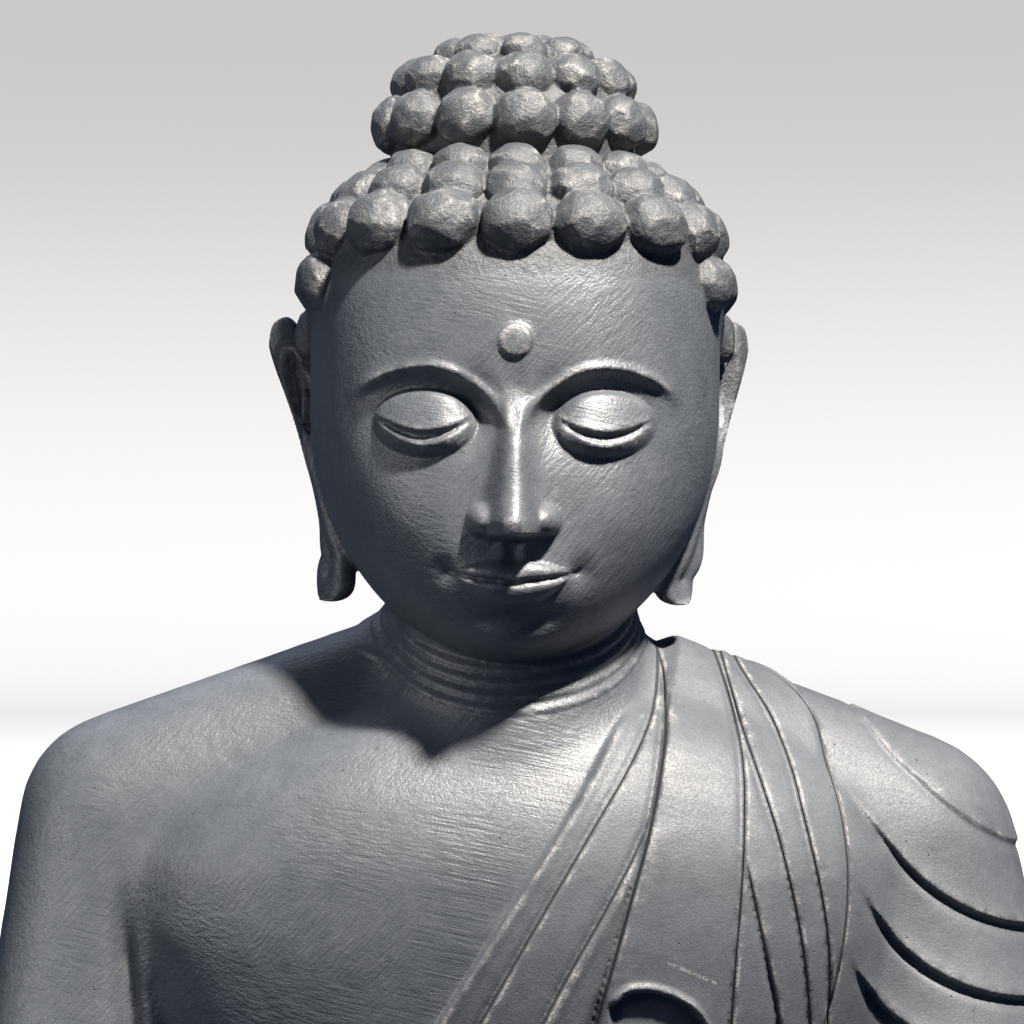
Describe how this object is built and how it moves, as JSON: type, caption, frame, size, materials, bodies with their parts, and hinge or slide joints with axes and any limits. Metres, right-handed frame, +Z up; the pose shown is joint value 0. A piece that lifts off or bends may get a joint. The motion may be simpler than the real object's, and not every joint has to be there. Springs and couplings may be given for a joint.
{
  "type": "stone buddha bust",
  "caption": "Carved stone Buddha bust, calm head with rows of round curls, topknot and long ears, robe over the left shoulder, flat underside to stand on",
  "frame": {"origin": "on the flat underside, below the middle of the neck", "axes": "+Z is up through the head, -Y is the way the face looks, +X is the bust's own left, where the robe is"},
  "size_m": [0.7504, 0.3869, 0.7058],
  "materials": {
    "grey_stone": "honed and dressed, dull sheen"
  },
  "bodies": {
    "root": {"buddha_bust": "grey_stone"}
  },
  "joints": []
}
